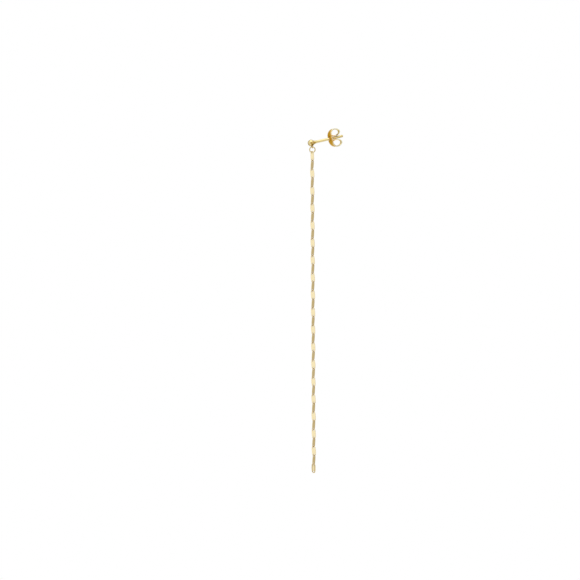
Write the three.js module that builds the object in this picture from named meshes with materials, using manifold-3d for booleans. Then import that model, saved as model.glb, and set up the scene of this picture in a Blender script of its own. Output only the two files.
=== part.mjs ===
// Dangle earring: a ball stud with a butterfly back, a jump ring and a long chain of oval mirror links.
// Millimetres, +Z up. The origin is the point on the post's axis at the back of the ball.
// The post points backwards along +Y and rises by the stud's tilt, and the chain hangs down along -Z.
import * as THREE from "three";
import { mergeVertices } from "three/addons/utils/BufferGeometryUtils.js";
import Module from "manifold-3d";

const DEGREE = Math.PI / 180;

// Ball stud
const STUD_TILT = 12.3 * DEGREE;
const BALL_RADIUS = 1.0;
const POST_RADIUS = 0.4;
const POST_LENGTH = 9.05;
const SOLDER_FLARE = 0.2;
const SOLDER_RADIUS = POST_RADIUS + SOLDER_FLARE;
const SOLDER_LENGTH = 0.95;
const NOTCH_FROM_TIP = 0.52;
const NOTCH_LENGTH = 0.16;
const NOTCH_SLOPE = 0.1;
const NOTCH_DEPTH = 0.07;
const TIP_ROUNDING = 0.3;
const STUD_SIDES = 28;

// Butterfly back, placed by the gap that it leaves for the ear lobe
const LOBE_GAP = 4.9;
const BACK_TO_POST = 0.05;
const BACK_SHEET = 0.3;
const BACK_WIDTH = 5.2;
const BACK_ARM_WIDTH = 1.45;
const BACK_NARROWING = 0.36;
const PLATE_HALF_HEIGHT = 0.8;
const BACK_HOLE_RADIUS = POST_RADIUS + BACK_TO_POST;
const FUNNEL_FLARE = 0.33;
const FUNNEL_DEPTH = 0.17;
const SCROLL_HALF_DEPTH = 1.53;
const SCROLL_HALF_HEIGHT = 1.01;
const SCROLL_END = -138 * DEGREE;
const FRONT_STEPS = 9;
const CURL_STEPS = 19;
const CUT_OVERRUN = 0.1;

// Jump ring
const RING_WIRE_RADIUS = 0.145;
const RING_CENTRE_RADIUS = 0.85;
const RING_TURN = 4 * DEGREE;
const RING_TO_EYE = 0.045;
const RING_TO_BALL = 0.055;

// Soldered eye under the ball, its plane across the post
const EYE_WIRE_RADIUS = 0.15;
const EYE_PLAY = 0.115;
const EYE_HOLE_RADIUS = RING_WIRE_RADIUS + EYE_PLAY;
const EYE_DROP = BALL_RADIUS + RING_TO_BALL + 2 * RING_WIRE_RADIUS + RING_TO_EYE - EYE_HOLE_RADIUS;
const EYE_SHIFT = 0.12;

// Chain of flat oval links
const LINK_COUNT = 37;
const LINK_LENGTH = 3.036;
const LINK_WIDTH = 1.44;
const LINK_THICKNESS = 0.2;
const LINK_SIDES = 24;
const LINK_SQUARENESS = 3;
const LINK_END_BAR = 0.18;
const LINK_PLAY = 0.074;
const LINK_PITCH = LINK_LENGTH - 2 * LINK_END_BAR - LINK_PLAY;
const LINK_HOLE_LENGTH = 0.46;
const LINK_SIDE_PLAY = 0.18;
const LINK_HOLE_WIDTH = Math.max(LINK_THICKNESS, 2 * RING_WIRE_RADIUS) + LINK_SIDE_PLAY;
const LINK_TO_RING = 0.1;
const CHAIN_SHIFT = -0.08;
const FIRST_TURN = -60 * DEGREE;
const ODD_TURN = -48 * DEGREE;
const EVEN_TURN = 42 * DEGREE;
const LAST_TURN = -48 * DEGREE;

// Half outline of a link's hole as shares of its half width and half length
const HOLE_CORNERS = [
  [0.6, 1],
  [0.91, 0.6],
  [1, 0],
  [0.91, -0.6],
  [0.6, -1],
];

// The chain hangs a little zigzag: its joints step from side to side in one upright plane
const SWAY = 0.09;
const SWAY_ANGLE = 12 * DEGREE;
const SWAY_DIRECTION = new THREE.Vector3(Math.sin(SWAY_ANGLE), Math.cos(SWAY_ANGLE), 0);

// The last link is free at its lower end and leans
const LAST_LEAN = 18 * DEGREE;
const LAST_LEAN_ANGLE = 168 * DEGREE;

const wasm = await Module();
wasm.setup();

function toSolid(geometry) {
  const bare = geometry.clone();
  bare.deleteAttribute("normal");
  bare.deleteAttribute("uv");
  const merged = mergeVertices(bare, 1e-5);
  const mesh = new wasm.Mesh({
    numProp: 3,
    vertProperties: Float32Array.from(merged.attributes.position.array),
    triVerts: Uint32Array.from(merged.index.array),
  });
  return new wasm.Manifold(mesh);
}

function toGeometry(solid) {
  const mesh = solid.getMesh();
  const geometry = new THREE.BufferGeometry();
  geometry.setAttribute("position", new THREE.BufferAttribute(mesh.vertProperties, 3));
  geometry.setIndex(new THREE.BufferAttribute(mesh.triVerts, 1));
  geometry.computeVertexNormals();
  return geometry;
}

function goldMaterial(name, colour) {
  return new THREE.MeshStandardMaterial({ name, color: colour, metalness: 1, roughness: 0.16 });
}

function addPart(group, name, geometry, material) {
  const mesh = new THREE.Mesh(geometry, material);
  mesh.name = name;
  group.add(mesh);
}

// A ring of round wire about the Y axis
function wireRing(centreRadius, wireRadius, sides, wireSides) {
  const profile = [];
  for (let i = 0; i <= wireSides; i += 1) {
    const angle = (2 * Math.PI * (i % wireSides)) / wireSides;
    const radius = centreRadius + wireRadius * Math.cos(angle);
    profile.push(new THREE.Vector2(radius, wireRadius * Math.sin(angle)));
  }
  return new THREE.LatheGeometry(profile, sides);
}

// The stud is drawn level, its post along +Y, and then tipped up about the X axis
const tipUp = new THREE.Matrix4().makeRotationX(STUD_TILT);

function ballAndPost() {
  const profile = [];
  const ballSteps = 13;
  const endAngle = Math.PI - Math.asin(SOLDER_RADIUS / BALL_RADIUS);
  for (let i = 0; i <= ballSteps; i += 1) {
    const angle = (endAngle * i) / ballSteps;
    const y = -BALL_RADIUS - BALL_RADIUS * Math.cos(angle);
    profile.push(new THREE.Vector2(i === 0 ? 0 : BALL_RADIUS * Math.sin(angle), y));
  }
  const solderStart = profile[profile.length - 1].y;
  for (let i = 1; i <= 4; i += 1) {
    const along = i / 4;
    const radius = POST_RADIUS + (SOLDER_RADIUS - POST_RADIUS) * (1 - along) ** 1.6;
    profile.push(new THREE.Vector2(radius, solderStart + (SOLDER_LENGTH - solderStart) * along));
  }
  const notchEnd = POST_LENGTH - NOTCH_FROM_TIP;
  const notchRadius = POST_RADIUS - NOTCH_DEPTH;
  profile.push(new THREE.Vector2(POST_RADIUS, notchEnd - NOTCH_LENGTH - 2 * NOTCH_SLOPE));
  profile.push(new THREE.Vector2(notchRadius, notchEnd - NOTCH_LENGTH - NOTCH_SLOPE));
  profile.push(new THREE.Vector2(notchRadius, notchEnd - NOTCH_SLOPE));
  profile.push(new THREE.Vector2(POST_RADIUS, notchEnd));
  const tipSteps = 4;
  for (let i = 0; i <= tipSteps; i += 1) {
    const angle = ((Math.PI / 2) * i) / tipSteps;
    const radius = i === tipSteps ? 0 : POST_RADIUS * Math.cos(angle);
    profile.push(new THREE.Vector2(radius, POST_LENGTH - TIP_ROUNDING + TIP_ROUNDING * Math.sin(angle)));
  }
  return new THREE.LatheGeometry(profile, STUD_SIDES);
}

function ballStud() {
  const eye = wireRing(EYE_HOLE_RADIUS + EYE_WIRE_RADIUS, EYE_WIRE_RADIUS, 16, 8);
  eye.translate(0, EYE_SHIFT - BALL_RADIUS, -EYE_DROP);
  const solid = toSolid(ballAndPost()).add(toSolid(eye));
  return toGeometry(solid).applyMatrix4(tipUp);
}

// Middle line of the bent strip as [along the post, across the post], upper half, from the plate outwards
function scrollLine() {
  const plateLine = LOBE_GAP + BACK_SHEET / 2;
  const centreAlong = plateLine + SCROLL_HALF_DEPTH;
  const centreAcross = BACK_HOLE_RADIUS + BACK_SHEET / 2 + SCROLL_HALF_HEIGHT;
  const frontRise = centreAcross + SCROLL_HALF_HEIGHT - PLATE_HALF_HEIGHT;
  const line = [new THREE.Vector2(plateLine, PLATE_HALF_HEIGHT / 2)];
  for (let i = 0; i < FRONT_STEPS; i += 1) {
    const angle = ((Math.PI / 2) * i) / FRONT_STEPS;
    const along = centreAlong - SCROLL_HALF_DEPTH * Math.cos(angle);
    line.push(new THREE.Vector2(along, PLATE_HALF_HEIGHT + frontRise * Math.sin(angle)));
  }
  for (let i = 0; i <= CURL_STEPS; i += 1) {
    const angle = Math.PI / 2 + ((SCROLL_END - Math.PI / 2) * i) / CURL_STEPS;
    const along = centreAlong + SCROLL_HALF_DEPTH * Math.cos(angle);
    line.push(new THREE.Vector2(along, centreAcross + SCROLL_HALF_HEIGHT * Math.sin(angle)));
  }
  return line;
}

// A closed skin over a row of four-cornered sections
function loft(sections) {
  const geometry = new THREE.BufferGeometry();
  const index = [];
  for (let i = 0; i + 1 < sections.length; i += 1) {
    for (let j = 0; j < 4; j += 1) {
      const a = 4 * i + j;
      const b = 4 * i + ((j + 1) % 4);
      index.push(a, b + 4, b, a, a + 4, b + 4);
    }
  }
  const last = 4 * (sections.length - 1);
  index.push(0, 1, 2, 0, 2, 3, last, last + 2, last + 1, last, last + 3, last + 2);
  geometry.setFromPoints(sections.flat());
  geometry.setIndex(index);
  return geometry;
}

// The strip is widest at the plate and narrows into the two arms that are rolled up
function bentStrip() {
  const upper = scrollLine();
  const lower = upper.map((p) => new THREE.Vector2(p.x, -p.y)).reverse();
  const middle = [...lower, new THREE.Vector2(LOBE_GAP + BACK_SHEET / 2, 0), ...upper];
  const distances = [0];
  for (let i = 1; i < middle.length; i += 1) {
    distances.push(distances[i - 1] + middle[i].distanceTo(middle[i - 1]));
  }
  const half = distances[distances.length - 1] / 2;
  const sections = middle.map((point, i) => {
    const before = middle[Math.max(i - 1, 0)];
    const after = middle[Math.min(i + 1, middle.length - 1)];
    const direction = after.clone().sub(before).normalize();
    const side = new THREE.Vector2(-direction.y, direction.x).multiplyScalar(BACK_SHEET / 2);
    const share = (distances[i] - half) / half;
    const widening = Math.exp(-((share / BACK_NARROWING) ** 2));
    const x = (BACK_ARM_WIDTH + (BACK_WIDTH - BACK_ARM_WIDTH) * widening) / 2;
    return [
      new THREE.Vector3(-x, point.x + side.x, point.y + side.y),
      new THREE.Vector3(-x, point.x - side.x, point.y - side.y),
      new THREE.Vector3(x, point.x - side.x, point.y - side.y),
      new THREE.Vector3(x, point.x + side.x, point.y + side.y),
    ];
  });
  return loft(sections);
}

function earBack() {
  const funnelRadius = BACK_HOLE_RADIUS + FUNNEL_FLARE;
  const hole = new THREE.LatheGeometry(
    [
      new THREE.Vector2(0, LOBE_GAP - CUT_OVERRUN),
      new THREE.Vector2(funnelRadius, LOBE_GAP - CUT_OVERRUN),
      new THREE.Vector2(funnelRadius, LOBE_GAP),
      new THREE.Vector2(BACK_HOLE_RADIUS, LOBE_GAP + FUNNEL_DEPTH),
      new THREE.Vector2(BACK_HOLE_RADIUS, LOBE_GAP + BACK_SHEET + CUT_OVERRUN),
      new THREE.Vector2(0, LOBE_GAP + BACK_SHEET + CUT_OVERRUN),
    ],
    STUD_SIDES,
  );
  const solid = toSolid(bentStrip()).subtract(toSolid(hole));
  return toGeometry(solid).applyMatrix4(tipUp);
}

// Where the jump ring's wire rests in the eye
function ringTop() {
  const drop = EYE_DROP + EYE_HOLE_RADIUS - RING_WIRE_RADIUS - RING_TO_EYE;
  return new THREE.Vector3(0, EYE_SHIFT - BALL_RADIUS, -drop).applyMatrix4(tipUp);
}

function jumpRing() {
  const ring = wireRing(RING_CENTRE_RADIUS, RING_WIRE_RADIUS, 16, 6);
  const top = ringTop();
  ring.rotateY(Math.PI / 16);
  ring.rotateZ(-Math.PI / 2);
  ring.rotateZ(RING_TURN);
  ring.translate(top.x, top.y, top.z - RING_CENTRE_RADIUS);
  return ring;
}

function linkHole(centre) {
  const half = LINK_HOLE_WIDTH / 2;
  const end = LINK_HOLE_LENGTH / 2;
  const right = HOLE_CORNERS.map(([x, y]) => new THREE.Vector2(x * half, centre + y * end));
  const left = right.map((corner) => new THREE.Vector2(-corner.x, corner.y)).reverse();
  return new THREE.Path([...right, ...left]);
}

// Turns an oval into a squarer one, with flatter sides and ends
function squared(value) {
  return Math.sign(value) * Math.abs(value) ** (2 / LINK_SQUARENESS);
}

// A flat link standing in the XZ plane, its length along Z
function linkGeometry() {
  const corners = [];
  for (let i = 0; i < LINK_SIDES; i += 1) {
    const angle = (2 * Math.PI * i) / LINK_SIDES;
    const x = (LINK_WIDTH / 2) * squared(Math.cos(angle));
    corners.push(new THREE.Vector2(x, (LINK_LENGTH / 2) * squared(Math.sin(angle))));
  }
  const outline = new THREE.Shape(corners);
  const holeCentre = LINK_LENGTH / 2 - LINK_END_BAR - LINK_HOLE_LENGTH / 2;
  outline.holes.push(linkHole(holeCentre), linkHole(-holeCentre));
  const plate = new THREE.ExtrudeGeometry(outline, { depth: LINK_THICKNESS, bevelEnabled: false });
  plate.translate(0, 0, -LINK_THICKNESS / 2);
  plate.rotateX(Math.PI / 2);
  return plate;
}

function linkTurn(number) {
  if (number === 1) return FIRST_TURN;
  if (number === LINK_COUNT) return LAST_TURN;
  return number % 2 === 1 ? ODD_TURN : EVEN_TURN;
}

// Joints of the chain: joint 0 is where the first link hangs in the jump ring
function chainJoint(index) {
  if (index === LINK_COUNT) {
    const step = new THREE.Vector3().setFromSphericalCoords(LINK_PITCH, LAST_LEAN, 0);
    step.set(step.z * Math.cos(LAST_LEAN_ANGLE), step.z * Math.sin(LAST_LEAN_ANGLE), -step.y);
    return chainJoint(index - 1).add(step);
  }
  const ringBottom = ringTop().z - 2 * RING_CENTRE_RADIUS + RING_WIRE_RADIUS;
  const height = ringBottom + LINK_TO_RING + LINK_END_BAR - (LINK_LENGTH - LINK_PITCH) / 2;
  const side = index % 2 === 0 ? -1 : 1;
  const sway = index === 0 ? 0 : SWAY * side;
  const joint = SWAY_DIRECTION.clone().multiplyScalar(sway);
  joint.y += ringTop().y + CHAIN_SHIFT;
  joint.z = height - index * LINK_PITCH;
  return joint;
}

function placedLink(number) {
  const top = chainJoint(number - 1);
  const bottom = chainJoint(number);
  const rise = top.clone().sub(bottom).normalize();
  const lean = new THREE.Quaternion().setFromUnitVectors(new THREE.Vector3(0, 0, 1), rise);
  const centre = top.clone().add(bottom).multiplyScalar(0.5);
  const link = linkGeometry();
  link.rotateZ(linkTurn(number) - Math.PI / 2);
  link.applyQuaternion(lean);
  link.translate(centre.x, centre.y, centre.z);
  return link;
}

const earring = new THREE.Group();
earring.name = "dangle_earring";
addPart(earring, "ball_stud", ballStud(), goldMaterial("stud gold", 0xd8b25a));
addPart(earring, "ear_back", earBack(), goldMaterial("back gold", 0xd6a850));
addPart(earring, "jump_ring", jumpRing(), goldMaterial("ring gold", 0xd2b26a));
for (let number = 1; number <= LINK_COUNT; number += 1) {
  const label = `link_${String(number).padStart(2, "0")}`;
  addPart(earring, label, placedLink(number), goldMaterial("chain gold", 0xdcbf7c));
}

export default earring;
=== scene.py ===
import math
import bmesh
import bpy
from mathutils import Matrix, Vector


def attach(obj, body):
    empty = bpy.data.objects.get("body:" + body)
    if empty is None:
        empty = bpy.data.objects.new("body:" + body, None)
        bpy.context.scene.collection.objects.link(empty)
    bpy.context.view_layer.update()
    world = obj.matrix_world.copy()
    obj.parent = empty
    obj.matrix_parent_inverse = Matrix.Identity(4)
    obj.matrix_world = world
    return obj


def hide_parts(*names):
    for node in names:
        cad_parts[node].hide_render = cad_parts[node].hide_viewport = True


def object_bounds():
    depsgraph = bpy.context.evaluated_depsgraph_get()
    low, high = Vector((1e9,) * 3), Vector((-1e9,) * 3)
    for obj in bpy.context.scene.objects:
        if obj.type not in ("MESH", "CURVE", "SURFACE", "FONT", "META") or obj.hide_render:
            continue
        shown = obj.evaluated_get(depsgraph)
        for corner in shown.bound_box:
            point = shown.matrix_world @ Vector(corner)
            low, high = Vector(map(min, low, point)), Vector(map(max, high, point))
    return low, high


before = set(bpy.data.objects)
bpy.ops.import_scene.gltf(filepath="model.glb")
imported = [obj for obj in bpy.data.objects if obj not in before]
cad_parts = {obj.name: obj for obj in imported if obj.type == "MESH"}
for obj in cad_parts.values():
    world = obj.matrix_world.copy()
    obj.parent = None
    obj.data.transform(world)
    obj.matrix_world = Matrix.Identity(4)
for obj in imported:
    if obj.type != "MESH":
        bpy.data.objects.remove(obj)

scene = bpy.context.scene
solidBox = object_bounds()
mm = 0.001  # the pieces' own values are in millimetres and degrees
sharpEdge = math.radians(60)  # edges folded by more than this get rounded


# helpers

def linearColour(hexValue):  # sRGB hex to linear
    channels = [int(hexValue[i:i + 2], 16) / 255 for i in (1, 3, 5)]
    return tuple(c / 12.92 if c <= 0.04045 else ((c + 0.055) / 1.055) ** 2.4 for c in channels) + (1,)


def addNode(tree, kind, values=None, links=None, **settings):
    node = tree.nodes.new(kind)
    for name, value in settings.items():
        setattr(node, name, value)
    for name, value in (values or {}).items():
        node.inputs[name].default_value = value
    for name, socket in (links or {}).items():
        tree.links.new(socket, node.inputs[name])
    return node


def addPiece(name, bm, material, body, slot, *nodes):
    mesh = bpy.data.meshes.new(name)
    bm.to_mesh(mesh)
    bm.free()
    return addMesh(name, mesh, [material], body, slot, *nodes)


def addMesh(name, mesh, materials, body, slot, *nodes):
    for material in materials:
        mesh.materials.append(material)
    normals = [Vector() for vertex in mesh.vertices]
    for polygon in mesh.polygons:  # wide faces outweigh the narrow rounding beside them, so they shade flat
        polygon.use_smooth = True
        for index in polygon.vertices:
            normals[index] += polygon.normal * polygon.area
    mesh.normals_split_custom_set_from_vertices([normal.normalized() for normal in normals])
    piece = bpy.data.objects.new(name, mesh)
    scene.collection.objects.link(piece)
    if body:
        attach(piece, body)
    if nodes:
        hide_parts(*nodes)
    return piece


def spinProfile(bm, points, steps, closed=False, slit=0):  # points are (radius, along Y), spun about Y
    verts = [bm.verts.new((radius, along, 0)) for radius, along in points]
    edges = [bm.edges.new(pair) for pair in zip(verts, verts[1:])]
    if closed:
        edges.append(bm.edges.new((verts[-1], verts[0])))
    bmesh.ops.spin(bm, geom=verts + edges, cent=(0, 0, 0), axis=(0, 1, 0), angle=2 * math.pi - slit,
                   steps=steps, use_merge=not slit)
    bmesh.ops.remove_doubles(bm, verts=bm.verts, dist=1e-7)
    if slit:
        bmesh.ops.holes_fill(bm, edges=[edge for edge in bm.edges if edge.is_boundary], sides=0)
    bmesh.ops.recalc_face_normals(bm, faces=bm.faces)


def cutThrough(bm, place, way):  # gives a flat sheet edges to bend or dome along
    bmesh.ops.bisect_plane(bm, geom=bm.verts[:] + bm.edges[:] + bm.faces[:], plane_co=place,
                           plane_no=way, dist=1e-9)


def thickenSheet(bm, thickness, rounding):  # a flat sheet across Y gets its thickness and rounded rims
    bmesh.ops.translate(bm, verts=bm.verts, vec=(0, -thickness / 2 * mm, 0))
    grown = bmesh.ops.extrude_face_region(bm, geom=bm.faces[:])["geom"]
    bmesh.ops.translate(bm, verts=[part for part in grown if isinstance(part, bmesh.types.BMVert)],
                        vec=(0, thickness * mm, 0))
    bmesh.ops.recalc_face_normals(bm, faces=bm.faces)
    rims = [edge for edge in bm.edges if edge.calc_face_angle(0) > sharpEdge]
    bmesh.ops.bevel(bm, geom=rims, offset=rounding * mm, affect="EDGES", segments=3, profile=0.5,
                    material=-1)


# Gold: 18 carat yellow gold alloy, a warm mirror metal. Its reflections break up softly on the ripple that
# tumbling leaves and on hairline scratches. Real hairlines are about 0.01 mm wide. They are drawn coarser,
# and still show only as a softer gloss.

grain = {"rippleDepth": 0.03, "scratchDepth": 0.05, "glossSpan": (0.35, 0.7), "patchCore": 0.55,
         "patchRagged": 0.9, "rubAndShadeCore": 0.6}


def spotColour(tree, colour, away, core, reach, hexValue):  # full at the spot's core, gone at its reach
    mask = addNode(tree, "ShaderNodeMapRange",
                   {"From Min": core, "From Max": reach, "To Min": 1.0, "To Max": 0.0},
                   {"Value": away}, interpolation_type="SMOOTHSTEP")
    return addNode(tree, "ShaderNodeMix", {7: linearColour(hexValue)},
                   {0: mask.outputs["Result"], 6: colour}, data_type="RGBA").outputs[2]


def goldMaterial(name, spec):
    material = bpy.data.materials.new(name)
    material.use_nodes = True
    tree = material.node_tree
    tree.nodes.clear()
    coords = addNode(tree, "ShaderNodeTexCoord")
    ripple = addNode(tree, "ShaderNodeTexNoise",
                     {"Scale": 1 / (spec["rippleMm"] * mm), "Detail": 3.0, "Roughness": 0.5},
                     {"Vector": coords.outputs["Object"]})
    stretch = addNode(tree, "ShaderNodeMapping", {"Scale": spec["scratchRun"]},
                      {"Vector": coords.outputs["Object"]})
    scratches = addNode(tree, "ShaderNodeTexNoise",
                        {"Scale": 1 / (spec["scratchMm"] * mm), "Detail": 4.0, "Roughness": 0.65},
                        {"Vector": stretch.outputs["Vector"]})
    tone = addNode(tree, "ShaderNodeMix",
                   {6: linearColour(spec["colour"]), 7: linearColour(spec["warmColour"])},
                   {0: ripple.outputs[0]}, data_type="RGBA")
    colour = tone.outputs[2]
    for place, reach, patchColour in spec["stainsAndPaintedLight"]:  # tarnish, solder film, painted shade and a painted reflection, ragged at the edge
        away = addNode(tree, "ShaderNodeVectorMath", {1: tuple(c * mm for c in place)},
                       {0: coords.outputs["Object"]}, operation="DISTANCE")
        ragged = addNode(tree, "ShaderNodeMath", {1: -grain["patchRagged"] * reach * mm,
                                                  2: grain["patchRagged"] / 2 * reach * mm},
                         {0: ripple.outputs[0]}, operation="MULTIPLY_ADD")
        reached = addNode(tree, "ShaderNodeMath", None,
                          {0: away.outputs["Value"], 1: ragged.outputs["Value"]}, operation="ADD")
        colour = spotColour(tree, colour, reached.outputs["Value"], grain["patchCore"] * reach * mm,
                            reach * mm, patchColour)
    if "rubAndShade" in spec:  # wear and painted shade at both ends of a link, where it turns in its neighbours and overlaps them
        height, reach, wornAndShaded = spec["rubAndShade"]
        across = addNode(tree, "ShaderNodeSeparateXYZ", None,
                         {"Vector": addNode(tree, "ShaderNodeUVMap", uv_map="face").outputs["UV"]})
        upright = addNode(tree, "ShaderNodeMath", None, {0: across.outputs["Y"]}, operation="ABSOLUTE")
        spot = addNode(tree, "ShaderNodeCombineXYZ", None,
                       {"X": across.outputs["X"], "Y": upright.outputs["Value"]})
        away = addNode(tree, "ShaderNodeVectorMath", {1: (0, height, 0)}, {0: spot.outputs["Vector"]},
                       operation="DISTANCE")
        colour = spotColour(tree, colour, away.outputs["Value"], reach * grain["rubAndShadeCore"], reach, wornAndShaded)
    gloss = addNode(tree, "ShaderNodeMapRange",
                    {"From Min": grain["glossSpan"][0], "From Max": grain["glossSpan"][1],
                     "To Min": spec["roughness"][0], "To Max": spec["roughness"][1]},
                    {"Value": scratches.outputs[0]})
    relief = addNode(tree, "ShaderNodeBump",
                     {"Strength": spec["ripple"], "Distance": spec["rippleMm"] * mm * grain["rippleDepth"]},
                     {"Height": ripple.outputs[0]})
    hairlines = addNode(tree, "ShaderNodeBump",
                        {"Strength": spec["scratch"],
                         "Distance": spec["scratchMm"] * mm * grain["scratchDepth"]},
                        {"Height": scratches.outputs[0], "Normal": relief.outputs["Normal"]})
    shader = addNode(tree, "ShaderNodeBsdfPrincipled",
                     {"Metallic": 1.0, "Specular Tint": linearColour(spec["edgeTint"])},
                     {"Base Color": colour, "Roughness": gloss.outputs["Result"],
                      "Normal": hairlines.outputs["Normal"]})
    addNode(tree, "ShaderNodeOutputMaterial", None, {"Surface": shader.outputs["BSDF"]})
    return material


# A patch, be it a stain, painted shade or a painted reflection, has its place and its reach in millimetres,
# and its colour. A rub, wear with painted shade where links overlap, has its height from the link's middle,
# its reach and its colour, and is at both ends. The small number in scratchRun makes long streaks.

# Tumbled ball, post and ring: a smooth mirror, with solder film and painted shade under the ball where the
# eye joins it, a warmer patch at the post's root, a painted reflection of the camera on the ball's front and
# painted shade on the post under the back's scroll.
polished = {"colour": "#ebdcaa", "warmColour": "#dcc88c", "edgeTint": "#bcae88", "rippleMm": 0.9,
            "ripple": 0.35, "scratchMm": 0.08, "scratch": 0.12, "scratchRun": (1, 1, 1),
            "roughness": (0.07, 0.16),
            "stainsAndPaintedLight": [((0.8, -0.74, -0.82), 0.55, "#8c6a1a"), ((0.5, 0.15, -0.1), 0.5, "#ccb060"),
                       ((0.99, -1.04, -0.26), 0.38, "#d8b050"), ((0.2, 6.45, 1.95), 0.5, "#c8a040")]}
# Links stamped from rolled strip: the brightest mirror, its scratches drawn along the link, and darker at
# both ends with wear and painted shade where the links overlap.
mirrorLink = {"colour": "#f9eac2", "warmColour": "#f3e2b2", "edgeTint": "#ecd6a0", "rippleMm": 0.8,
              "ripple": 0.3, "scratchMm": 0.06, "scratch": 0.1, "scratchRun": (1, 1, 0.15),
              "roughness": (0.06, 0.15), "stainsAndPaintedLight": [], "rubAndShade": (1.42, 0.4, "#e0c470")}
# Thin rolled sheet of the back: paler, streaked across, warmer on the plate, with painted shade in the dish
# round its hole and under the scroll where it grips the post.
rolledSheet = {"colour": "#f6f4d6", "warmColour": "#eee8c4", "edgeTint": "#dcc07c", "rippleMm": 0.7,
               "ripple": 0.3, "scratchMm": 0.07, "scratch": 0.16, "scratchRun": (0.12, 1, 1),
               "roughness": (0.09, 0.2),
               "stainsAndPaintedLight": [((0.2, 4.0, 0.95), 3.5, "#f2ca78"), ((-0.4, 4.69, 1.25), 1.0, "#84501a"),
                          ((0.7, 6.85, 2.1), 0.4, "#8a6a20")]}
# Walls of the links' holes, as the punch left them: torn metal, duller than the faces, and darker with
# painted shade inside the holes.
punchedAndShadedEdge = {"colour": "#d6bd7a", "warmColour": "#c8ab60", "edgeTint": "#c8aa66", "rippleMm": 0.3,
               "ripple": 0.4, "scratchMm": 0.05, "scratch": 0.3, "scratchRun": (1, 1, 1),
               "roughness": (0.25, 0.4), "stainsAndPaintedLight": []}
punchedAndShadedGold = goldMaterial("punched 18 carat gold with painted shade", punchedAndShadedEdge)
tumbledGold = goldMaterial("tumble polished 18 carat gold", polished)
linkGold = goldMaterial("mirror polished 18 carat gold strip", mirrorLink)
sheetGold = goldMaterial("rolled 18 carat gold sheet", rolledSheet)
print("materials made")


# ball stud: ball, solder cone, post and eye, one soldered piece

stud = {"tilt": 12.3, "ballRadius": 1.0, "solderRadius": 0.6, "solderLength": 0.95, "postRadius": 0.4,
        "postLength": 9.045, "notchFromTip": 0.515, "notchLength": 0.16, "notchSlope": 0.1,
        "notchDepth": 0.07, "tipRounding": 0.3, "eyeWire": 0.15, "eyeHole": 0.26, "eyeDrop": 1.13,
        "eyeShift": 0.12, "solderFlare": 1.6, "solderBead": 0.2, "beadSpread": 0.4, "beadDrop": 0.87,
        "ballSteps": 40, "coneSteps": 12, "notchSteps": 8, "tipSteps": 12, "spinSteps": 96,
        "eyeSides": 20, "eyeSteps": 56}
tipUp = Matrix.Rotation(math.radians(stud["tilt"]), 4, "X")


def studProfile(s):
    points = []
    endAngle = math.pi - math.asin(s["solderRadius"] / s["ballRadius"])
    for i in range(s["ballSteps"] + 1):
        angle = endAngle * i / s["ballSteps"]
        radius = s["ballRadius"] * math.sin(angle)
        points.append((radius, -s["ballRadius"] - s["ballRadius"] * math.cos(angle)))
    start = points[-1][1]
    flare = s["solderRadius"] - s["postRadius"]
    for i in range(1, s["coneSteps"] + 1):
        along = i / s["coneSteps"]
        radius = s["postRadius"] + flare * (1 - along) ** s["solderFlare"]
        points.append((radius, start + (s["solderLength"] - start) * along))
    end = s["postLength"] - s["notchFromTip"]
    depth, slope, length, steps = s["notchDepth"], s["notchSlope"], s["notchLength"], s["notchSteps"]
    for i in range(steps + 1):
        share = 0.5 - 0.5 * math.cos(math.pi * i / steps)
        points.append((s["postRadius"] - depth * share, end - length - 2 * slope + slope * i / steps))
    for i in range(steps + 1):
        share = 0.5 + 0.5 * math.cos(math.pi * i / steps)
        points.append((s["postRadius"] - depth * share, end - slope + slope * i / steps))
    for i in range(s["tipSteps"] + 1):
        angle = math.pi / 2 * i / s["tipSteps"]
        along = s["postLength"] - s["tipRounding"] * (1 - math.sin(angle))
        points.append((s["postRadius"] * math.cos(angle) if i < s["tipSteps"] else 0, along))
    return [(radius * mm, along * mm) for radius, along in points]


def wireCircle(centreRadius, wireRadius, sides):
    return [((centreRadius + wireRadius * math.cos(2 * math.pi * i / sides)) * mm,
             wireRadius * math.sin(2 * math.pi * i / sides) * mm) for i in range(sides)]


bm = bmesh.new()
spinProfile(bm, studProfile(stud), stud["spinSteps"])
eye = bmesh.new()
spinProfile(eye, wireCircle(stud["eyeHole"] + stud["eyeWire"], stud["eyeWire"], stud["eyeSides"]),
            stud["eyeSteps"], closed=True)
bmesh.ops.translate(eye, verts=eye.verts,
                    vec=Vector((0, stud["eyeShift"] - stud["ballRadius"], -stud["eyeDrop"])) * mm)
for side in (-1, 1):  # solder pooled where the eye's wire meets the ball
    beadPlace = Vector((side * stud["beadSpread"], stud["eyeShift"] - stud["ballRadius"], -stud["beadDrop"]))
    bead = Matrix.Translation(beadPlace * mm)
    bmesh.ops.create_icosphere(eye, subdivisions=4, radius=stud["solderBead"] * mm, matrix=bead)
eyeMesh = bpy.data.meshes.new("eye")
eye.to_mesh(eyeMesh)
eye.free()
bm.from_mesh(eyeMesh)
bpy.data.meshes.remove(eyeMesh)
bm.transform(tipUp)
addPiece("ballAndPost", bm, tumbledGold, "earring", "polished_gold", "ball_stud")
print("ball stud made")


# butterfly back: one strip, its ends rolled into scrolls that grip the post

back = {"lobeGap": 4.9, "sheet": 0.3, "width": 5.2, "armWidth": 1.45, "narrowing": 0.36,
        "plateHalfHeight": 0.8, "holeRadius": 0.45, "halfDepth": 1.53, "halfHeight": 1.004,
        "scrollEnd": -138, "rimRounding": 0.09, "dishRadius": 0.8, "dishDepth": 0.17,
        "tipShare": 0.03, "tipNarrowing": 0.25, "cuts": 120, "creases": 12,
        "creaseSpacing": 0.2, "bendSteps": 24, "scrollSteps": 72, "holeSides": 48}


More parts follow.
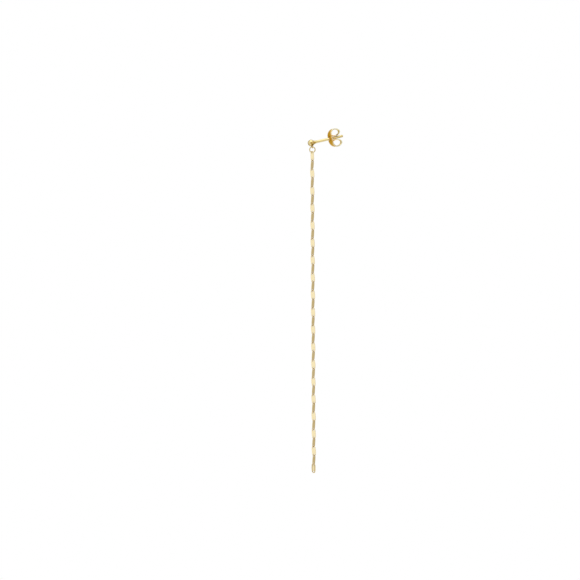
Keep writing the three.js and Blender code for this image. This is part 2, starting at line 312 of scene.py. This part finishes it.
def scrollLine(b):  # middle of the upper half of the strip as (along the post, across it)
    plate = b["lobeGap"] + b["sheet"] / 2
    along = plate + b["halfDepth"]
    across = b["holeRadius"] + b["sheet"] / 2 + b["halfHeight"]
    rise = across + b["halfHeight"] - b["plateHalfHeight"]
    upper = []
    for i in range(b["bendSteps"]):
        angle = math.pi / 2 * i / b["bendSteps"]
        upper.append((along - b["halfDepth"] * math.cos(angle),
                      b["plateHalfHeight"] + rise * math.sin(angle)))
    for i in range(b["scrollSteps"] + 1):
        angle = math.pi / 2 + (math.radians(b["scrollEnd"]) - math.pi / 2) * i / b["scrollSteps"]
        upper.append((along + b["halfDepth"] * math.cos(angle), across + b["halfHeight"] * math.sin(angle)))
    return upper


def stripWidth(b, share):
    return b["armWidth"] + (b["width"] - b["armWidth"]) * math.exp(-(share / b["narrowing"]) ** 2)


def makeBack(b):  # a flat blank of the strip with its hole is thickened, rounded, dished and then rolled
    upper = scrollLine(b)
    arm = [0]
    for (y0, z0), (y1, z1) in zip(upper, upper[1:]):
        arm.append(arm[-1] + math.hypot(y1 - y0, z1 - z0))
    half = b["plateHalfHeight"] + arm[-1]
    bm = bmesh.new()
    right = []
    for i in range(b["cuts"] + 1):
        share = -1 + 2 * i / b["cuts"]
        width = stripWidth(b, share) / 2
        tip = max(0, (abs(share) - 1 + b["tipShare"]) / b["tipShare"])
        right.append((width * (1 - b["tipNarrowing"] * tip ** 2), share * half))
    outline = right + [(-x, z) for x, z in reversed(right)]
    rim = [bm.verts.new((x * mm, 0, z * mm)) for x, z in outline]
    turns = [2 * math.pi * i / b["holeSides"] for i in range(b["holeSides"])]
    hole = [bm.verts.new((b["holeRadius"] * mm * math.cos(angle), 0, b["holeRadius"] * mm * math.sin(angle)))
            for angle in turns]
    for loop in (rim, hole):
        for pair in zip(loop, loop[1:] + loop[:1]):
            bm.edges.new(pair)
    bmesh.ops.triangle_fill(bm, edges=bm.edges[:], use_beauty=True)
    for cut in range(1, 2 * b["cuts"]):
        cutThrough(bm, (0, 0, (-1 + cut / b["cuts"]) * half * mm), (0, 0, 1))
    for cut in range(-b["creases"], b["creases"] + 1):
        cutThrough(bm, (cut * b["creaseSpacing"] * mm, 0, 0), (1, 0, 0))
    bmesh.ops.recalc_face_normals(bm, faces=bm.faces)
    thickenSheet(bm, b["sheet"], b["rimRounding"])
    for vert in bm.verts:
        x, off, z = vert.co.x / mm, vert.co.y / mm, vert.co.z / mm
        fromHole = math.hypot(x, z)
        if fromHole < b["dishRadius"] and off < 0:  # the bearing face sinks towards the hole
            rimShare = (fromHole - b["holeRadius"]) / (b["dishRadius"] - b["holeRadius"])
            sunk = 0.5 + 0.5 * math.cos(math.pi * rimShare)
            off += b["dishDepth"] * sunk * min(1, -off / (b["sheet"] / 2))
        vert.co = rolled(b, upper, arm, x, off, z)
    return bm


def rolled(b, upper, arm, x, off, z):  # a point of the flat blank moved to the rolled strip
    travel, side = abs(z) - b["plateHalfHeight"], math.copysign(1, z)
    if travel <= 0:
        return Vector((x, b["lobeGap"] + b["sheet"] / 2 + off, z)) * mm
    i = min(max(j for j in range(len(arm)) if arm[j] <= travel + 1e-9), len(arm) - 2)
    share = (travel - arm[i]) / (arm[i + 1] - arm[i])
    (y0, z0), (y1, z1) = upper[i], upper[i + 1]

    def runAt(j):
        (ya, za), (yb, zb) = upper[max(j - 1, 0)], upper[min(j + 1, len(upper) - 1)]
        return Vector((yb - ya, zb - za)).normalized()

    run = (Vector((0, 1)) if i == 0 else runAt(i)).lerp(runAt(i + 1), share).normalized()
    y = y0 + (y1 - y0) * share + run.y * off
    across = z0 + (z1 - z0) * share - run.x * off
    return Vector((x, y, side * across)) * mm


bm = makeBack(back)
bm.transform(tipUp)
addPiece("butterflyBack", bm, sheetGold, "butterfly_back", "polished_gold", "ear_back")
print("butterfly back made")


# jump ring: round wire, its cut closed to a fine line

ring = {"wire": 0.145, "centreRadius": 0.85, "turn": 4, "toEye": 0.045, "cut": 0.025, "cutAngle": 35,
        "wireSides": 24, "ringSteps": 96}
ringDrop = stud["eyeDrop"] + stud["eyeHole"] - ring["wire"] - ring["toEye"]
ringTop = tipUp @ Vector((0, stud["eyeShift"] - stud["ballRadius"], -ringDrop))
bm = bmesh.new()
spinProfile(bm, wireCircle(ring["centreRadius"], ring["wire"], ring["wireSides"]), ring["ringSteps"],
            closed=True, slit=ring["cut"] / ring["centreRadius"])
bm.transform(Matrix.Translation(Vector((ringTop.x, ringTop.y, ringTop.z - ring["centreRadius"])) * mm)
             @ Matrix.Rotation(math.radians(ring["turn"] - 90), 4, "Z")
             @ Matrix.Rotation(math.radians(ring["cutAngle"]), 4, "Y"))
addPiece("jumpRing", bm, tumbledGold, "earring", "polished_gold", "jump_ring")
print("jump ring made")


# chain: flat oval mirror links, each a quarter turn from the last

link = {"count": 37, "length": 3.036, "width": 1.44, "thickness": 0.2, "endBar": 0.18, "play": 0.074,
        "holeLength": 0.46, "holeWidth": 0.47, "toRing": 0.1, "shift": -0.08, "firstTurn": -60,
        "oddTurn": -48, "evenTurn": 42, "lastTurn": -48, "lastLean": 18, "lastLeanAngle": 168,
        "sway": 0.09, "swayAngle": 12, "squareness": 3, "holeSquareness": 2.7, "edgeRounding": 0.06,
        "swell": 0.4, "folds": 5, "foldSpacing": 0.12, "rimSides": 72, "holeSides": 32}
link["pitch"] = link["length"] - 2 * link["endBar"] - link["play"]


def ovalLoop(bm, centre, width, length, count, power):  # power 2 is an ellipse, more is squarer
    verts = bmesh.ops.create_circle(bm, segments=count, radius=1)["verts"]
    for vert in verts:
        x, z = vert.co.x, vert.co.y
        x = math.copysign(abs(x) ** (2 / power), x)
        z = math.copysign(abs(z) ** (2 / power), z)
        vert.co = (x * width / 2 * mm, 0, (centre + z * length / 2) * mm)


def makeLink(k):
    bm = bmesh.new()
    ovalLoop(bm, 0, k["width"], k["length"], k["rimSides"], k["squareness"])
    holeCentre = k["length"] / 2 - k["endBar"] - k["holeLength"] / 2
    for side in (-1, 1):
        ovalLoop(bm, side * holeCentre, k["holeWidth"], k["holeLength"], k["holeSides"],
                 k["holeSquareness"])
    bmesh.ops.triangle_fill(bm, edges=bm.edges[:], use_beauty=True)
    for cut in range(-k["folds"], k["folds"] + 1):
        cutThrough(bm, (cut * k["foldSpacing"] * mm, 0, 0), (1, 0, 0))
    thickenSheet(bm, k["thickness"], k["edgeRounding"])
    for face in bm.faces:  # the punched walls of the holes keep the second finish, duller and darker with painted shade
        spot = face.calc_center_median() / mm
        across = abs(spot.x) / (k["holeWidth"] / 2 + k["edgeRounding"])
        along = abs(abs(spot.z) - holeCentre) / (k["holeLength"] / 2 + k["edgeRounding"])
        nearHole = across ** k["holeSquareness"] + along ** k["holeSquareness"]
        face.material_index = 1 if nearHole < 1 else 0
    for vert in bm.verts:  # tumbling leaves the faces slightly domed across their width
        vert.co.y *= 1 - k["swell"] * (2 * vert.co.x / mm / k["width"]) ** 2
    uvMap = bm.loops.layers.uv.new("face")  # millimetres across and along the link's face
    for face in bm.faces:
        for loop in face.loops:
            loop[uvMap].uv = (loop.vert.co.x / mm, loop.vert.co.z / mm)
    return bm


def chainJoint(index, k):  # joint 0 is where the first link hangs in the jump ring
    if index == k["count"]:  # the last link is free at its lower end and leans
        lean, angle = math.radians(k["lastLean"]), math.radians(k["lastLeanAngle"])
        step = Vector((math.sin(lean) * math.cos(angle), math.sin(lean) * math.sin(angle), -math.cos(lean)))
        return chainJoint(index - 1, k) + step * k["pitch"]
    ringBottom = ringTop.z - 2 * ring["centreRadius"] + ring["wire"]
    height = ringBottom + k["toRing"] + k["endBar"] - (k["length"] - k["pitch"]) / 2
    sway = 0 if index == 0 else (1 if index % 2 else -1) * k["sway"]
    angle = math.radians(k["swayAngle"])
    return Vector((sway * math.sin(angle), ringTop.y + k["shift"] + sway * math.cos(angle),
                   height - index * k["pitch"]))


def linkPlace(number, k):
    top, bottom = chainJoint(number - 1, k), chainJoint(number, k)
    turn = k["oddTurn"] if number % 2 else k["evenTurn"]
    turn = {1: k["firstTurn"], k["count"]: k["lastTurn"]}.get(number, turn)
    lean = Vector((0, 0, 1)).rotation_difference(top - bottom).to_matrix().to_4x4()
    return (Matrix.Translation((top + bottom) / 2 * mm) @ lean
            @ Matrix.Rotation(math.radians(turn - 90), 4, "Z"))


bm = makeLink(link)
linkMesh = bpy.data.meshes.new("link")
bm.to_mesh(linkMesh)
bm.free()
for number in range(1, link["count"] + 1):
    mesh = linkMesh.copy()
    mesh.transform(linkPlace(number, link))
    addMesh(f"ovalLink{number:02d}", mesh, [linkGold, punchedAndShadedGold], "earring", "chain_gold",
            f"link_{number:02d}")
bpy.data.meshes.remove(linkMesh)
print("chain made")


# floor, light and camera

floor = {"size": 0.6, "below": 0.2, "colour": "#ffffff", "roughness": 0.9}  # metres
bm = bmesh.new()
bmesh.ops.create_grid(bm, x_segments=1, y_segments=1, size=floor["size"] / 2,
                      matrix=Matrix.Translation((0, 0, solidBox[0][2] - floor["below"])))
paleFloor = bpy.data.materials.new("matt white board")
paleFloor.use_nodes = True
board = paleFloor.node_tree.nodes["Principled BSDF"]
board.inputs["Base Color"].default_value = linearColour(floor["colour"])
board.inputs["Roughness"].default_value = floor["roughness"]
addPiece("floor", bm, paleFloor, None, None)

# distance is in metres and lens in millimetres, and ballPixel is where the ball's middle falls in the frame
view = {"azimuth": 78, "distance": 1.5, "lens": 300, "roll": 0.33, "mmPerPixel": 0.3,
        "ballPixel": (311.1, 143.0), "framePixels": 580}
turn = math.radians(view["azimuth"])
towards = Vector((math.sin(turn), -math.cos(turn), 0))
rightWays = Vector((math.cos(turn), math.sin(turn), 0))
roll = math.radians(view["roll"])
cameraRight = rightWays * math.cos(roll) - Vector((0, 0, math.sin(roll)))
cameraUp = rightWays * math.sin(roll) + Vector((0, 0, math.cos(roll)))
ballCentre = tipUp @ Vector((0, -stud["ballRadius"] * mm, 0))
middle = view["framePixels"] / 2
fromCentre = (view["ballPixel"][0] - middle) * cameraRight + (middle - view["ballPixel"][1]) * cameraUp
target = ballCentre - fromCentre * view["mmPerPixel"] * mm
cameraData = bpy.data.cameras.new("camera")
cameraData.lens = view["lens"]
frameWidth = view["framePixels"] * view["mmPerPixel"] * mm
cameraData.sensor_width = frameWidth * view["lens"] / view["distance"]
cameraData.clip_start = 0.01
camera = bpy.data.objects.new("camera", cameraData)
scene.collection.objects.link(camera)
camera.matrix_world = (Matrix.Translation(target + towards * view["distance"])
                       @ Matrix((cameraRight, cameraUp, towards)).transposed().to_4x4())
scene.camera = camera

# A grey tent with white sheets and a warm card at the camera. A sheet has its azimuth, its rise, the cosines
# where it starts and is full, and its level. The backdrop and the camera's card follow view's azimuth.
studio = {"grey": 0.6, "cloth": "#fbf1dc",
          "sheets": {"window": (258, 8, (0.86, 0.95), 1.0), "fill": (20, 0, (0.8, 0.96), 0.75),
                     "side": (300, 0, (0.78, 0.93), 1.0), "low": (269, -23, (0.994, 0.9997), 1.0)},
          "topReach": (0.3, 0.8), "backdropReach": (0.86, 0.99), "cameraCard": "#c4a468",
          "cameraReach": (0.94, 0.99), "lampSize": 1.3, "lampPower": 4.6, "lampPlace": (0.2, -0.15, 1.15)}
world = bpy.data.worlds.new("light tent")
world.use_nodes = True
scene.world = world
tree = world.node_tree
tree.nodes.clear()
coords = addNode(tree, "ShaderNodeTexCoord")


def tentCard(direction, reach):  # 1 in the middle of a card of the tent, 0 outside it
    dot = addNode(tree, "ShaderNodeVectorMath", {1: tuple(direction)}, {0: coords.outputs["Generated"]},
                  operation="DOT_PRODUCT")
    ramp = addNode(tree, "ShaderNodeMapRange", {"From Min": reach[0], "From Max": reach[1]},
                   {"Value": dot.outputs["Value"]}, interpolation_type="SMOOTHSTEP")
    return ramp.outputs["Result"]


def tentMath(operation, first, second):  # second is a socket or a number
    values = {1: second} if isinstance(second, float) else {}
    links = {0: first} if values else {0: first, 1: second}
    return addNode(tree, "ShaderNodeMath", values, links, operation=operation).outputs["Value"]


white = tentMath("MAXIMUM", tentCard(-towards, studio["backdropReach"]),
                 tentCard((0, 0, 1), studio["topReach"]))
for azimuth, rise, reach, level in studio["sheets"].values():
    around, up = math.radians(azimuth), math.radians(rise)
    sheet = tentCard((math.cos(around) * math.cos(up), math.sin(around) * math.cos(up), math.sin(up)), reach)
    white = tentMath("MAXIMUM", white, tentMath("MULTIPLY", sheet, level))
shade = tentMath("ADD", tentMath("MULTIPLY", white, 1 - studio["grey"]), studio["grey"])
plain = addNode(tree, "ShaderNodeLightPath").outputs["Is Camera Ray"]  # the view itself sees plain white
tint = addNode(tree, "ShaderNodeMix", {6: linearColour(studio["cloth"]), 7: (1, 1, 1, 1)},
               {0: white}, data_type="RGBA")
dark = addNode(tree, "ShaderNodeMix", {7: linearColour(studio["cameraCard"])},
               {0: tentCard(towards, studio["cameraReach"]), 6: tint.outputs[2]}, data_type="RGBA")
seen = addNode(tree, "ShaderNodeMix", {7: (1, 1, 1, 1)}, {0: plain, 6: dark.outputs[2]}, data_type="RGBA")
glow = addNode(tree, "ShaderNodeBackground", None,
               {"Color": seen.outputs[2], "Strength": tentMath("MAXIMUM", shade, plain)})
addNode(tree, "ShaderNodeOutputWorld", None, {"Surface": glow.outputs["Background"]})

lamp = bpy.data.lights.new("softBoxTop", "AREA")
lamp.energy = studio["lampPower"]
lamp.size = studio["lampSize"]
softBox = bpy.data.objects.new("softBoxTop", lamp)
scene.collection.objects.link(softBox)
place = Vector(studio["lampPlace"])
softBox.matrix_world = Matrix.Translation(place) @ place.to_track_quat("Z", "Y").to_matrix().to_4x4()
scene.view_settings.view_transform = "Standard"
print("stage, camera and light made")
